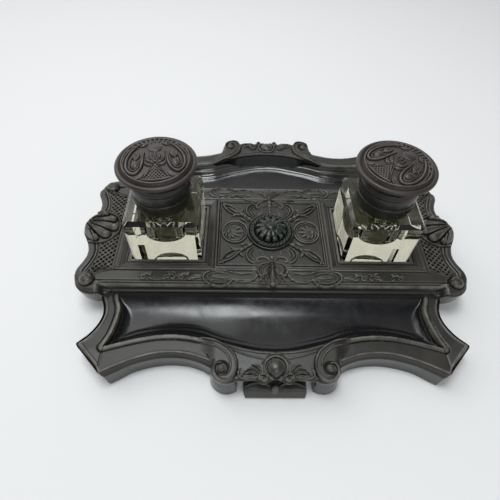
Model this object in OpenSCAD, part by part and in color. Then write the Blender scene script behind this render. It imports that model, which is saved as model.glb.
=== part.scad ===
// Desk inkstand with two lidded glass ink blocks and a lift-off stamp cover.
// X is to the right, Y is to the back, Z is up; millimetres.

/* [Stand] */
// Width over the two side wings
stand_w = 281; // [272:1:300]
// Depth over the front and the back foot
stand_d = 233; // [226:1:245]
// Height of the pen tray rims
rim_h = 13; // [12:0.5:15]
// Height of the raised middle deck
deck_h = 22; // [21:0.5:24]
// Height of the lip below the deck's edge
lip_h = 17; // [16:0.5:18]
// Height of the side wings
wing_h = 24; // [23.5:0.5:26]
// Height of the scrolls on the front and back crests
scroll_h = 18; // [16:0.5:20]
// Half depth of the deck to the edge of its rails
rail_y = 46; // [44:0.5:47]
// Step of the lip outside the rail
lip_step = 4.5; // [3:0.5:5]
// Distance between the ends of the rails
rail_l = 244; // [240:1:246]
// Height of each of the two steps in the flared tray wall
wall_step = 2.8; // [2.4:0.1:3]
// Height of the upright edge of the tray rim
edge_h = 3; // [2:0.25:4]
// Height of the upright edge of a wing
wing_edge_h = 7; // [5:0.5:9]
// Inset of each step below a wing's edge
wing_tuck = 3; // [2:0.25:3.5]
// Radius of the knob at each end of a rail
knob_r = 4.2; // [3.6:0.1:4.6]
// Height of those knobs above the wing
knob_rise = 0.6; // [0.4:0.1:1.5]

/* [Pen trays] */
// Thickness under the lowest line of a pen tray
tray_floor = 5; // [4.5:0.5:6.5]
// Radius of the hollow of a pen tray
tray_r = 40; // [38:1:46]
// Distance of the tray's lowest line from the deck's lip
tray_in = 18.5; // [17:0.5:20]

/* [Crests and feet] */
// Distance of a crest scroll from the middle
scroll_x = 31; // [28:0.5:33]
// Radius of a crest scroll
scroll_r = 8.6; // [7:0.2:9]
// Radius of the button in the eye of a scroll
eye_r = 2.6; // [2:0.2:3]
// Radius of the domed stone in a crest
stone_r = 5.2; // [4:0.2:6]
// Width of a foot
foot_w = 38; // [30:1:40]
// Depth of a foot
foot_l = 12; // [9:0.5:14]
// Height of a foot
foot_h = 4.6; // [4:0.2:6]
// Radius of the bead on a foot
bead_r = 2.5; // [2:0.1:3]

/* [Underside] */
// Thickness of the baize
baize_t = 0.8; // [0.6:0.1:1.2]
// Thickness of the bottom board
board_t = 2; // [1.6:0.1:2.2]
// Width of the rim left round the bottom board
board_rim = 5; // [4:0.5:6]
// Radius of a screw's shank
screw_r = 1.3; // [1:0.1:1.6]
// Radius of a screw's head
screw_head_r = 2.6; // [2.4:0.1:3]
// Thickness of a screw's head
screw_head_t = 1.1; // [0.9:0.1:1.4]
// Length of a screw
screw_l = 9; // [7:0.5:11]

/* [Stamp box] */
// Width of the cover
cover_w = 83; // [78:0.5:83]
// Depth of the cover
cover_d = 67.6; // [64:0.4:68]
// Thickness of the cover
cover_t = 3; // [2.6:0.2:3.4]
// Width of the ledge that the cover rests on
ledge = 4; // [3:0.5:6]
// Gap round the cover
cover_gap = 0.3; // [0.2:0.05:0.5]
// Height of the relief on the cover
relief_h = 1; // [0.6:0.1:1.6]
// Plain edge left round the relief
relief_edge = 4; // [3:0.5:6]
// Half depth of the cover over its leaf finials
finial_y = 49; // [47:0.5:50]
// Width of a leaf finial
finial_w = 14; // [10:0.5:18]

/* [Boss] */
// Radius of the boss flange
boss_r = 18; // [16:0.5:20]
// Thickness of the boss flange
flange_t = 1.6; // [1.2:0.1:2.2]
// Height of the corded ring on the flange
cord_h = 3; // [2.4:0.2:4]
// Width of the flange outside that ring
cord_in = 2; // [1:0.25:3]
// Radius of the boss dome
boss_dome_r = 11.6; // [10:0.2:12.4]
// Radius of the dome's own curve
boss_curve_r = 14; // [13:0.5:18]
// Height of the boss above the cover
boss_h = 8.4; // [7:0.2:10]
// Radius of the stud through the cover
stud_r = 2; // [1.6:0.1:2.4]
// Length of stud held in the boss
stud_grip = 2.2; // [1.6:0.1:2.6]
// Thickness of the nut
nut_h = 2.4; // [2:0.1:3]
// Width of the nut's wall at its corners
nut_wall = 2.4; // [1.8:0.1:3]
// Length of stud left past the nut
stud_end = 0.8; // [0.4:0.1:1.2]

/* [Ink blocks] */
// Distance of each ink block from the middle
well_x = 76; // [74.5:0.5:78]
// Side of the square glass block
glass_w = 50; // [48:0.5:51]
// Height of the glass block to its shoulder
glass_h = 38.5; // [36:0.5:42]
// Depth of the socket that the block stands in
socket_d = 4; // [3.5:0.25:5]
// Gap between the block and its socket
socket_gap = 0.5; // [0.3:0.1:0.6]
// Thickness of the felt under the block
felt_t = 1; // [0.6:0.1:1.4]
// Width of the cut bevels on the glass
bevel = 2.6; // [1.5:0.1:3]
// Radius of the ink hollow
ink_r = 16.5; // [14:0.5:18]
// Thickness of glass under the ink
ink_floor = 13; // [9:0.5:15]
// Radius of the mouth
mouth_r = 11; // [9.5:0.25:12]
// Outer radius of the glass neck
neck_r = 15; // [14.5:0.25:15.5]
// Height of the glass neck
neck_h = 6.5; // [5:0.25:7]

/* [Collars and lids] */
// Outer radius of the collar at the glass
collar_r = 19; // [18:0.25:19.5]
// Outer radius where the lid meets the collar
parting_r = 20; // [19.6:0.1:20.4]
// Height of the collar
collar_h = 10.5; // [9.5:0.25:11.5]
// Gap under the lid when it is shut
lid_gap = 0.1; // [0.08:0.01:0.15]
// Height of the dark mount below the moulded cap
mount_h = 10; // [9:0.25:11]
// Widest radius of the cap
cap_r = 25.8; // [24.5:0.1:27]
// Height of the cap from the mount to its top
cap_h = 15.6; // [15:0.2:17]
// Height of the cove under the cap's rim
cove_h = 6.4; // [5.5:0.1:7]
// Radius of the cap's rim moulding
torus_r = 2.4; // [2:0.1:2.6]
// Height of the fillet between the cove and the rim
fillet_h = 0.8; // [0.5:0.1:1.2]
// Width of the cap's rim outside its dome
dome_in = 4.2; // [4:0.1:5]
// Rise of the cap's dome
dome_rise = 3.6; // [3:0.1:4.2]
// Radius of the spigot that holds the cap on its mount
spigot_r = 12; // [10:0.5:14]
// Length of that spigot
spigot_l = 4; // [3:0.25:4.5]
// Radius of the seat that holds the seal
seal_seat_r = 13; // [12:0.25:14]
// Depth of that seat
seal_seat_d = 3; // [2:0.25:4]
// Gap between the glass neck and the collar
neck_gap = 0.4; // [0.3:0.05:0.5]

/* [Hinges] */
// Radius of the hinge pin
pin_r = 1; // [0.8:0.05:1.2]
// Radius of the hinge knuckles
knuckle_r = 2.3; // [2.1:0.05:2.6]
// Running clearance of the lid on its pin
pin_gap = 0.05; // [0.02:0.01:0.08]
// Length of the lid's own knuckle
knuckle_l = 7; // [5:0.25:9]
// Gap between neighbouring knuckles
knuckle_gap = 0.15; // [0.1:0.05:0.3]
// Length of each of the collar's knuckles
ear_l = 4.85; // [4:0.25:6]
// Thickness of the collar's lugs
lug_t = 2.2; // [1.8:0.1:2.6]
// Drop of those lugs below the parting
lug_drop = 3.4; // [3:0.1:4]
// Thickness of the lid's own lug
lid_lug_t = 1.1; // [0.9:0.1:1.3]

/* [Hidden] */
$fn = 64;
// The sizes that the outlines below are drawn at
drawn_w = 281;
drawn_lip = 50.5;
drawn_foot = 116.5;
drawn_rim = 5;
fit = 0.1;
sx = stand_w / drawn_w;
z0 = baize_t;
lip_y = rail_y + lip_step;
foot_y = stand_d / 2;
reach = (foot_y - lip_y) / (drawn_foot - drawn_lip);
block_x = well_x * sx;
glass_z = deck_h - socket_d + felt_t;
shoulder_z = glass_z + glass_h;
parting_z = shoulder_z + collar_h;
mount_z = parting_z + lid_gap;
cap_z = mount_z + mount_h;
mount_r = parting_r - 0.3;
pin_y = parting_r + knuckle_r + 0.4;
bore_r = neck_r + neck_gap;
lug_y = bore_r - 1.4;
ear_x = knuckle_l / 2 + knuckle_gap;
pin_l = 2 * (ear_x + ear_l);
cover_z = deck_h - cover_t;
cover_top = deck_h + relief_h;
box_w = cover_w - 2 * ledge;
box_d = cover_d - 2 * ledge;
tray_y = lip_y + tray_in;

// Points of one quarter, from the middle of the front to the middle of the side.
scallop = [[36, -100.4], [45, -96.4], [55, -93], [66, -91.9], [78, -93.4], [92, -98.3], [108.2, -106.2]];
scallop_low = [[36, -104.5], [45, -100.8], [55, -97.6], [66, -96.5], [78, -97.6], [92, -101.6],
  [104, -107.6]];
side = [[127.4, -86.8], [121, -80.4], [116.9, -73.6], [115.2, -66.5], [116.1, -60], [118.6, -54], [120, -50]];
side_low = [[123.8, -88], [118.8, -81], [115.6, -74], [114.2, -66.5], [115, -60], [117.4, -54], [118.8, -50]];
hollow_front = [[0, -93.2], [11, -92.4], [21, -90.4], [29, -88.6], [37, -86.6], [46, -83.7], [56, -81.6],
  [66, -80.9], [77, -81.5], [89, -83.8], [100, -86.7], [109.6, -89.4]];
hollow_side = [[109.6, -89.4], [106, -81.6], [104.2, -74], [103.6, -66.5], [104.4, -60], [107, -54]];
board = [[0, -94], [33, -94], [52, -90], [66, -88.4], [80, -90], [103, -99], [114, -88], [107, -72],
  [107, -60], [118, -44], [118, 0]];
wing = [[112, -50], [118, -53], [124, -54.2], [130, -52.4], [134.4, -48.2], [136.4, -42], [135.7, -35.5],
  [133.5, -29], [132.6, -22.5], [134, -15.5], [137.2, -9], [139.7, -4.3], [140.5, 0]];

// A smooth curve through a list of points.
function bend(a, b, c, d, t) =
  0.5 * (2 * b + (c - a) * t + (2 * a - 5 * b + 4 * c - d) * t * t + (3 * b - a - 3 * c + d) * t * t * t);
function curve(p, n) = concat(
  [for (i = [0 : len(p) - 2]) for (k = [0 : n - 1])
    bend(p[max(i - 1, 0)], p[i], p[i + 1], p[min(i + 2, len(p) - 1)], k / n)],
  [p[len(p) - 1]]);
function across(y) = y < -drawn_lip ? -lip_y + (y + drawn_lip) * reach : y * lip_y / drawn_lip;
function sized(p) = [for (v = p) [v[0] * sx, across(v[1])]];
function blend(p, q, t) = [for (i = [0 : len(p) - 1]) p[i] * (1 - t) + q[i] * t];
function four(q) = concat(
  q,
  [for (i = [len(q) - 2 : -1 : 0]) [q[i][0], -q[i][1]]],
  [for (i = [1 : len(q) - 1]) [-q[i][0], -q[i][1]]],
  [for (i = [len(q) - 2 : -1 : 1]) [-q[i][0], q[i][1]]]);
function two(q) = concat(q, [for (i = [len(q) - 2 : -1 : 0]) [q[i][0], -q[i][1]]]);
function pair(q) = concat(q, [for (i = [len(q) - 1 : -1 : 1]) [-q[i][0], q[i][1]]]);

// The tray outline at a height share t: 0 at the table, 1 at the rim.
function tray_line(t) = concat(
  sized([[0, -100]]),
  curve(sized(blend(scallop_low, scallop, t)), 4),
  curve(sized(blend(side_low, side, t)), 4),
  sized([[120, -40], [120, 0]]));

module slab(za, zb) {
  translate([0, 0, za]) linear_extrude(zb - za) children();
}

module both_ends() {
  children();
  mirror([0, 1, 0]) children();
}

module both_sides() {
  children();
  mirror([1, 0, 0]) children();
}

module tray_mass() {
  level = [z0, z0 + wall_step, z0 + 2 * wall_step, rim_h - edge_h, rim_h];
  share = [0, 0.3, 0.65, 1];
  for (i = [0 : 3]) slab(level[i], level[i + 1]) polygon(four(tray_line(share[i])));
}

module wing_shape(tuck) {
  translate([-tuck, 0]) polygon(two(curve(sized(wing), 4)));
}

module wing_mass() {
  rise = (wing_h - wing_edge_h - z0) / 3;
  both_sides() {
    for (i = [0 : 2]) slab(z0 + rise * i, z0 + rise * (i + 1)) wing_shape(wing_tuck * (3 - i));
    slab(wing_h - wing_edge_h, wing_h) wing_shape(0);
  }
}

module deck_mass() {
  slab(z0, lip_h) square([(rail_l - 6) * sx, 2 * lip_y], center = true);
  slab(z0, deck_h) square([rail_l * sx, 2 * rail_y], center = true);
  both_ends() both_sides() translate([129 * sx, 2 - rail_y, wing_h - wing_edge_h])
    cylinder(h = wing_edge_h + knob_rise, r = knob_r);
}

module crest() {
  front = across(-109.4);
  slab(z0, scroll_h - 2.4) translate([-(scroll_x + 1) * sx, front]) square([2 * (scroll_x + 1) * sx, 24]);
  both_sides() translate([scroll_x * sx, across(-103.6), 0]) {
    slab(z0, scroll_h - 1.4) circle(r = scroll_r);
    slab(z0, scroll_h - 0.6) circle(r = scroll_r - 1.8);
    translate([2.6, -0.4]) slab(z0, scroll_h) circle(r = eye_r);
  }
  translate([0, across(-103), 0]) {
    slab(z0, scroll_h - 2) circle(r = stone_r + 2);
    translate([0, 0, scroll_h - 2.6]) intersection() {
      sphere(r = stone_r);
      slab(0, stone_r) circle(r = stone_r);
    }
  }
}

module foot() {
  slab(z0, foot_h) translate([-foot_w / 2, -foot_y]) square([foot_w, foot_l]);
  translate([0, 2 + bead_r - foot_y]) slab(z0, foot_h + 2) circle(r = bead_r);
}

module tray_hollow() {
  intersection() {
    slab(tray_floor - 1, scroll_h + 5)
      polygon(pair(concat(
        curve(sized(hollow_front), 4),
        curve(sized(hollow_side), 4),
        [[108.6 * sx, -lip_y], [0, -lip_y]])));
    translate([0, -tray_y, tray_floor + tray_r]) rotate([0, 90, 0])
      cylinder(h = stand_w, r = tray_r, center = true, $fn = 128);
  }
}

module socket() {
  s = glass_w / 2 + socket_gap;
  both_sides() translate([block_x - s, -s, deck_h - socket_d]) cube([2 * s, 2 * s, socket_d + 5]);
}

module board_shape(gap) {
  k = (drawn_rim - board_rim - gap) / 100;
  polygon(four([for (p = sized(board)) p * (1 + k)]));
}

screw_at = sized([[97, 39.6], [97, -39.6], [-97, 39.6], [-97, -39.6]]);

module at_screws() {
  for (p = screw_at) translate([p[0], p[1], 0]) children();
}

module stand_body() {
  color("#3b3430") difference() {
    union() {
      tray_mass();
      wing_mass();
      deck_mass();
      both_ends() crest();
      both_ends() foot();
    }
    both_ends() tray_hollow();
    socket();
    slab(cover_z, deck_h + 5) square([cover_w + 2 * cover_gap, cover_d + 2 * cover_gap], center = true);
    slab(0, deck_h + 5) square([box_w, box_d], center = true);
    slab(0, z0 + board_t) board_shape(0);
    at_screws() cylinder(h = screw_l + z0 + 0.5, r = screw_r + 0.05);
  }
}

module bottom_board() {
  color("#6b4a2c") difference() {
    slab(z0, z0 + board_t) board_shape(0.2);
    at_screws() cylinder(h = screw_l, r = screw_r + 0.2);
    at_screws() cylinder(h = z0 + screw_head_t + fit, r = screw_head_r + 0.2);
  }
}

module baize_pad() {
  color("#26352a") slab(0, z0) polygon(four(tray_line(0)));
}

module board_screw(i) {
  color("#b59a5a") translate([screw_at[i][0], screw_at[i][1], z0]) {
    cylinder(h = screw_head_t, r = screw_head_r);
    cylinder(h = screw_l, r = screw_r);
  }
}

module cover_panel() {
  relief = [cover_w - 2 * relief_edge, cover_d - 2 * relief_edge];
  color("#443c36") difference() {
    union() {
      slab(cover_z, deck_h) square([cover_w, cover_d], center = true);
      slab(deck_h + fit, cover_top) square([finial_w, 2 * finial_y], center = true);
      slab(deck_h - fit, cover_top) square(relief, center = true);
    }
    translate([0, 0, cover_z - 1]) cylinder(h = cover_t + relief_h + 2, r = stud_r + 0.3);
  }
}

module cover_boss() {
  color("#2f332c") translate([0, 0, cover_top]) difference() {
    union() {
      cylinder(h = flange_t, r = boss_r);
      cylinder(h = cord_h, r = boss_r - cord_in);
      intersection() {
        translate([0, 0, boss_h - boss_curve_r]) sphere(r = boss_curve_r, $fn = 96);
        cylinder(h = boss_h, r = boss_dome_r);
      }
    }
    translate([0, 0, -1]) cylinder(h = stud_grip + 2, r = stud_r + 0.05);
  }
}

module boss_stud() {
  stud_l = stud_grip + relief_h + cover_t + nut_h + stud_end;
  color("#b59a5a") translate([0, 0, cover_top + stud_grip - stud_l]) cylinder(h = stud_l, r = stud_r);
}

module boss_nut() {
  color("#b59a5a") translate([0, 0, cover_z - nut_h]) difference() {
    cylinder(h = nut_h, r = stud_r + nut_wall, $fn = 6);
    translate([0, 0, -1]) cylinder(h = nut_h + 2, r = stud_r + 0.05);
  }
}

module socket_pad(s) {
  color("#2b2a28") translate([s * block_x, 0, 0])
    slab(glass_z - felt_t, glass_z) square([glass_w - 1, glass_w - 1], center = true);
}

module block_shape(w, b) {
  h = w / 2;
  polygon([[-h + b, -h], [h - b, -h], [h, -h + b], [h, h - b], [h - b, h], [-h + b, h], [-h, h - b],
    [-h, -h + b]]);
}

module top_bevel(len) {
  h = glass_w / 2;
  rotate([90, 0, 90]) translate([0, 0, -len / 2]) linear_extrude(len)
    polygon([[-h - 1, -1], [h + 1, -1], [h + 1, glass_h - bevel - 1], [h - bevel, glass_h],
      [-h + bevel, glass_h], [-h - 1, glass_h - bevel - 1]]);
}

module glass_block(s) {
  color("#c9cfae") translate([s * block_x, 0, glass_z]) difference() {
    union() {
      intersection() {
        linear_extrude(glass_h) block_shape(glass_w, bevel);
        top_bevel(2 * glass_w);
        rotate([0, 0, 90]) top_bevel(2 * glass_w);
      }
      translate([0, 0, glass_h - 1]) cylinder(h = neck_h + 1, r = neck_r);
    }
    translate([0, 0, ink_floor]) cylinder(h = glass_h - ink_floor - 4, r = ink_r);
    translate([0, 0, ink_floor]) cylinder(h = glass_h, r = mouth_r);
  }
}

// A hinge knuckle from a to b along the pin, bored to the radius hole.
module knuckle(a, b, hole) {
  translate([0, pin_y, parting_z]) rotate([0, 90, 0]) difference() {
    translate([0, 0, a]) cylinder(h = b - a, r = knuckle_r, $fn = 48);
    translate([0, 0, a - 1]) cylinder(h = b - a + 2, r = hole, $fn = 48);
  }
}

module pin_shape(r) {
  translate([-pin_l / 2, pin_y, parting_z]) rotate([0, 90, 0]) cylinder(h = pin_l, r = r, $fn = 48);
}

module collar(s) {
  color("#1c1c1b") translate([s * block_x, 0, 0]) difference() {
    union() {
      translate([0, 0, shoulder_z]) cylinder(h = collar_h, r1 = collar_r, r2 = parting_r);
      both_sides() translate([ear_x, lug_y, parting_z - lug_drop]) cube([ear_l - 0.25, pin_y - lug_y, lug_t]);
      knuckle(ear_x, ear_x + ear_l, pin_r - 0.4);
      knuckle(-ear_x - ear_l, -ear_x, pin_r - 0.4);
    }
    translate([0, 0, shoulder_z - 1]) cylinder(h = collar_h + 2, r = bore_r);
    pin_shape(pin_r + 0.01);
    translate([-ear_x, parting_r - 1, parting_z - knuckle_r - 0.4]) cube([2 * ear_x, 10, 10]);
  }
}

module lid_mount(s) {
  color("#1c1c1b") translate([s * block_x, 0, 0]) difference() {
    union() {
      translate([0, 0, mount_z]) cylinder(h = mount_h, r = mount_r);
      translate([-knuckle_l / 2, lug_y, mount_z + lid_lug_t]) cube([knuckle_l, pin_y - lug_y, lid_lug_t]);
      knuckle(-knuckle_l / 2, knuckle_l / 2, pin_r + pin_gap);
    }
    translate([0, 0, mount_z - 1]) cylinder(h = seal_seat_d + 1, r = seal_seat_r);
    translate([0, 0, cap_z - spigot_l]) cylinder(h = spigot_l + 1, r = spigot_r);
    pin_shape(pin_r + pin_gap);
    both_sides() translate([ear_x, parting_r - 1.4, mount_z - 1]) cube([ear_l + 1, 10, knuckle_r + 1.4]);
  }
}

module lid_seal(s) {
  color("#5a4636") translate([s * block_x, 0, 0]) {
    slab(shoulder_z + neck_h + 0.3, mount_z - 0.05) circle(r = bore_r - 0.9);
    slab(mount_z - 0.5, mount_z + seal_seat_d - fit) circle(r = seal_seat_r - fit);
  }
}

module lid_cap(s) {
  foot_r = mount_r - 0.3;
  rim_r = cap_r - torus_r;
  rim_z = cove_h + fillet_h + torus_r;
  dome_r = cap_r - dome_in;
  color("#40362f") translate([s * block_x, 0, cap_z]) rotate_extrude($fn = 96) polygon(concat(
    [[0, fit - spigot_l], [spigot_r - fit, fit - spigot_l], [spigot_r - fit, 0], [foot_r, 0]],
    [for (a = [10 : 10 : 80]) [foot_r + (rim_r - foot_r) * (1 - cos(a)), cove_h * sin(a)]],
    [[rim_r + 0.2, cove_h + 0.2], [rim_r + 0.2, cove_h + fillet_h]],
    [for (a = [-80 : 20 : 80]) [rim_r + torus_r * cos(a), rim_z + torus_r * sin(a)]],
    [[dome_r + 0.8, rim_z + 1.8], [dome_r, rim_z + 1.8]],
    [for (k = [0 : 7]) [dome_r * (0.99 - k / 8), cap_h - dome_rise * pow(0.99 - k / 8, 2)]],
    [[0, cap_h]]));
}

module hinge_pin(s) {
  color("#8c8a84") translate([s * block_x, 0, 0]) pin_shape(pin_r);
}

stand_body();
bottom_board();
baize_pad();
board_screw(0);  // board_screw_br
board_screw(1);  // board_screw_fr
board_screw(2);  // board_screw_bl
board_screw(3);  // board_screw_fl
cover_panel();
cover_boss();
boss_stud();
boss_nut();
socket_pad(-1);  // socket_pad_left
socket_pad(1);  // socket_pad_right
glass_block(-1);  // glass_left
glass_block(1);  // glass_right
collar(-1);  // collar_left
collar(1);  // collar_right
hinge_pin(-1);  // hinge_pin_left
hinge_pin(1);  // hinge_pin_right
lid_mount(-1);  // lid_mount_left
lid_mount(1);  // lid_mount_right
lid_cap(-1);  // lid_cap_left
lid_cap(1);  // lid_cap_right
lid_seal(-1);  // lid_seal_left
lid_seal(1);  // lid_seal_right
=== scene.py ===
from math import atan2, cos, degrees, hypot, pi, radians, sin
import bpy
import numpy as np
from mathutils import Matrix, Vector


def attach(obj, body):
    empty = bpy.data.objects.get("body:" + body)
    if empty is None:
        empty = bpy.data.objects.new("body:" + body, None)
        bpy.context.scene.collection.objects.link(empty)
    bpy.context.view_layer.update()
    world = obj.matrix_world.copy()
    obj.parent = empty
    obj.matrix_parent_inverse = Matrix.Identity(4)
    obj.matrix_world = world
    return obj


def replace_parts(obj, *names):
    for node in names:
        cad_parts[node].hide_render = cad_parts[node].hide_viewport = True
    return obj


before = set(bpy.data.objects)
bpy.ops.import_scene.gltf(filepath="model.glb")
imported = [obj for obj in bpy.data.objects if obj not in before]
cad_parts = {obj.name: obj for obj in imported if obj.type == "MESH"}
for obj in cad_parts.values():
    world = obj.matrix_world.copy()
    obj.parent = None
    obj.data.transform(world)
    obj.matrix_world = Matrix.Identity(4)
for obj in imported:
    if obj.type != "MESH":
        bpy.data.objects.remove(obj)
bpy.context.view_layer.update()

# Lengths in this script are millimetres in the row frame until a mesh is made.
MM = 0.001
SIDES = {"left": -1, "right": 1}

# Main heights and places, as in the solids.
BASE_Z = 0.8
RIM_Z = 13
FLOOR_Z = 5
TROUGH_Y = -69
TROUGH_R, TROUGH_R_OUT = 40, 75
LIP_Y = 50.5
WELL_X = 76
GLASS = 50
SHOULDER_Z = 58.1
PARTING_Z = 68
CAP_Z = 79.1
CAP_R = 25.8
COVER = (83, 67.6)
BOX = (75, 59.6)
SOCKET = 51
SOCKET_Z = 18
LEDGE_Z = 19
PIN_Y = 22.7
KNUCKLE_R = 2.3

# One quarter of the outline, from the middle of the front to the middle of the side: scallop,
# corner and side, first the rim's top edge, then the wall's foot with as many points.
TOP = ([(36, -100.6), (45, -97.2), (55, -94.2), (66, -93.1), (78, -94.5), (92, -99), (107.6, -106.2)],
       [(108.9, -106.2), (110.2, -105.2), (126.4, -88.9), (127.3, -87.6)],
       [(127.2, -86.4), (121, -80.4), (116.9, -73.6), (115.2, -66.5), (116.1, -60), (118.6, -54), (120, -50)])
FOOT = ([(36, -104.5), (45, -100.8), (55, -97.6), (66, -96.5), (78, -97.6), (92, -101.6), (104, -107.6)],
        [(104.6, -107.7), (106, -106.6), (122.9, -89.6), (123.7, -88.7)],
        [(123.8, -88), (118.8, -81), (115.6, -74), (114.2, -66.5), (115, -60), (117.4, -54), (118.8, -50)])
HOLLOW_FRONT = [(0, -93.2), (11, -92.4), (21, -90.4), (29, -88.6), (37, -86.6), (46, -83.7), (56, -81.6),
                (66, -80.9), (77, -81.5), (89, -83.8), (100, -86.7), (109.6, -89.4)]
HOLLOW_SIDE = [(109.6, -89.4), (106, -81.6), (104.2, -74), (103.6, -66.5), (104.4, -60), (107, -54),
               (108.6, -48)]
WING = [(112, -50), (118, -53.4), (124, -54.8), (130.6, -53.2), (135.4, -48.8), (137.6, -42.2),
        (136.8, -35.6), (134, -29), (132.6, -22.5), (134, -15.5), (137.2, -9), (139.7, -4.3), (140.5, 0)]
SHELL = [(134.6, -12.4), (128.6, -13), (120.6, -10.4), (115.4, -3.4), (114.4, 3.4), (116.4, 10.4),
         (121.4, 15.2), (128.6, 17.2), (134.6, 15.4)]

# Gloss classes that the composition's material reads from the meshes: matt is 0. The polished class is also
# painted pale, a painted reflection of the bright floor on walls and bevels; the glossy class is near-black.
POLISHED_PAINTED_REFLECTION = 0.75
GLOSSY = 1


def curve(points, per=6):
    """A smooth curve through the points, with so many steps between neighbours."""
    p = np.asarray(points, float)
    t = np.arange(per)[:, None] / per
    parts = []
    for i in range(len(p) - 1):
        a, b, c, d = p[max(i - 1, 0)], p[i], p[i + 1], p[min(i + 2, len(p) - 1)]
        parts.append(0.5 * (2 * b + (c - a) * t + (2 * a - 5 * b + 4 * c - d) * t ** 2
                            + (3 * b - a - 3 * c + d) * t ** 3))
    return np.vstack(parts + [p[-1:]])


def mirrored_x(points):
    """The points from +x, then their mirror image back to -x."""
    return np.vstack([points, (points * [-1, 1])[::-1]])


def ring(cx, cy, r, a0=0, a1=360, n=48):
    """Points on an arc, in degrees; r may be one radius or n of them."""
    a = np.radians(np.linspace(a0, a1, n))
    return np.stack([cx + r * np.cos(a), cy + r * np.sin(a)], 1)


def nearest(x, y, line):
    """Distance of each point from a polyline, and the nearest place on it, counted in vertices."""
    best = np.full(x.shape, 1e9)
    place = np.zeros(x.shape)
    for k, ((ax, ay), (bx, by)) in enumerate(zip(line[:-1], line[1:])):
        length = hypot(bx - ax, by - ay)
        if length < 1e-9:
            continue
        ux, uy = (bx - ax) / length, (by - ay) / length
        t = np.clip((x - ax) * ux + (y - ay) * uy, 0, length)
        d = np.hypot(x - ax - t * ux, y - ay - t * uy)
        near = d < best
        best = np.where(near, d, best)
        place = np.where(near, k + t / length, place)
    return best, place


def signed(x, y, polygon):
    """Distance from the polygon's edge, negative inside."""
    p = np.vstack([polygon, polygon[:1]])
    hit = np.zeros(x.shape, bool)
    for (ax, ay), (bx, by) in zip(p[:-1], p[1:]):
        if ay != by:
            hit ^= ((ay > y) != (by > y)) & (x < (bx - ax) * (y - ay) / (by - ay) + ax)
    return nearest(x, y, p)[0] * np.where(hit, -1, 1)


def smooth(t):
    """0 below 0, 1 above 1, and an S between."""
    t = np.clip(t, 0, 1)
    return t * t * (3 - 2 * t)


def bump(d, centre, half):
    """A round ridge of height 1 across a distance."""
    return np.sqrt(np.clip(1 - ((d - centre) / half) ** 2, 0, 1))


def soft_max(a, b, k):
    """The larger of two heights, with a fillet of size k."""
    h = np.clip(0.5 + 0.5 * (a - b) / k, 0, 1)
    return b * (1 - h) + a * h + k * h * (1 - h)


def blurred(field, times):
    """The field averaged with its neighbours, so many times over."""
    for _ in range(times):
        p = np.pad(field, 1, mode="edge")
        field = (p[1:-1, 1:-1] + p[2:, 1:-1] + p[:-2, 1:-1] + p[1:-1, 2:] + p[1:-1, :-2]) / 5
    return field


class Relief:
    """Ornament as a height over a grid, raised or cut stroke by stroke; flip mirrors what is drawn."""

    def __init__(self, x0, x1, y0, y1, step):
        self.x = np.arange(x0, x1 + step / 2, step)
        self.y = np.arange(y0, y1 + step / 2, step)
        self.X, self.Y = np.meshgrid(self.x, self.y, indexing="ij")
        self.R = np.zeros(self.X.shape)
        self.flip = (1, 1)

    def window(self, low, high):
        i = np.searchsorted(self.x, [low[0], high[0]])
        j = np.searchsorted(self.y, [low[1], high[1]])
        return slice(max(i[0] - 1, 0), i[1] + 1), slice(max(j[0] - 1, 0), j[1] + 1)

    def stroke(self, points, width, rise, widths=(1, 1), per=6, raised=True):
        """A rounded bar along a curve, raised or cut; widths scale it along the way."""
        line = curve(points, per) * self.flip
        half = width / 2 * max(widths)
        w = self.window(line.min(0) - half, line.max(0) + half)
        x, y = self.X[w], self.Y[w]
        if x.size == 0:
            return
        d, place = nearest(x, y, line)
        start = np.concatenate([[0], np.cumsum(np.hypot(*np.diff(line, axis=0).T))])
        share = np.interp(place, np.arange(len(line)), start / start[-1])
        scale = np.interp(share, np.linspace(0, 1, len(widths)), widths)
        h = bump(d / np.maximum(width / 2 * scale, 1e-6), 0, 1)
        h = h * rise * np.minimum(1, 0.35 + 0.65 * scale / max(widths))
        self.R[w] = np.maximum(self.R[w], h) if raised else self.R[w] - h

    def groove(self, points, width, depth, widths=(1, 1)):
        self.stroke(points, width, depth, widths, raised=False)

    def spiral(self, cx, cy, r0, r1, a0, a1, width, rise):
        """A scroll whose radius goes from r0 to r1 as its angle goes from a0 to a1 degrees."""
        n = max(8, int(abs(a1 - a0) / 12))
        self.stroke(ring(cx, cy, np.linspace(r0, r1, n), a0, a1, n), width, rise, per=2)

    def dome(self, cx, cy, rx, ry, rise, turn=0, flat=1):
        cx, cy, r = cx * self.flip[0], cy * self.flip[1], max(rx, ry)
        w = self.window((cx - r, cy - r), (cx + r, cy + r))
        turn = radians(turn * self.flip[0] * self.flip[1])
        c, s = cos(turn), sin(turn)
        x, y = self.X[w] - cx, self.Y[w] - cy
        q = ((x * c + y * s) / rx) ** 2 + ((y * c - x * s) / ry) ** 2
        self.R[w] = np.maximum(self.R[w], rise * np.clip(1 - q, 0, 1) ** (0.5 * flat))

    def leaf(self, root, tip, width, rise, bow=0, vein=0.35):
        """A pointed leaf from root to tip, bowed sideways, with a sunk vein."""
        root, tip = np.asarray(root, float), np.asarray(tip, float)
        mid = (root + tip) / 2 + np.array([root[1] - tip[1], tip[0] - root[0]]) * bow
        self.stroke([root, mid, tip], width, rise, (0.35, 0.95, 1, 0.7, 0.12))
        if vein:
            line = [root * 0.8 + mid * 0.2, mid, tip * 0.8 + mid * 0.2]
            self.groove(line, width * 0.28, rise * vein, (1, 0.9, 0.3))

    def taken(self, scale, trench, reach=4):
        """The ornament's height, with a shallow trench round each raised stroke; the grid is cleared."""
        mask = smooth(self.R / 0.3)
        height = self.R * scale - trench * np.clip(2 * blurred(mask, reach), 0, 1) * (1 - mask)
        self.R = np.zeros(self.R.shape)
        return height


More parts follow.
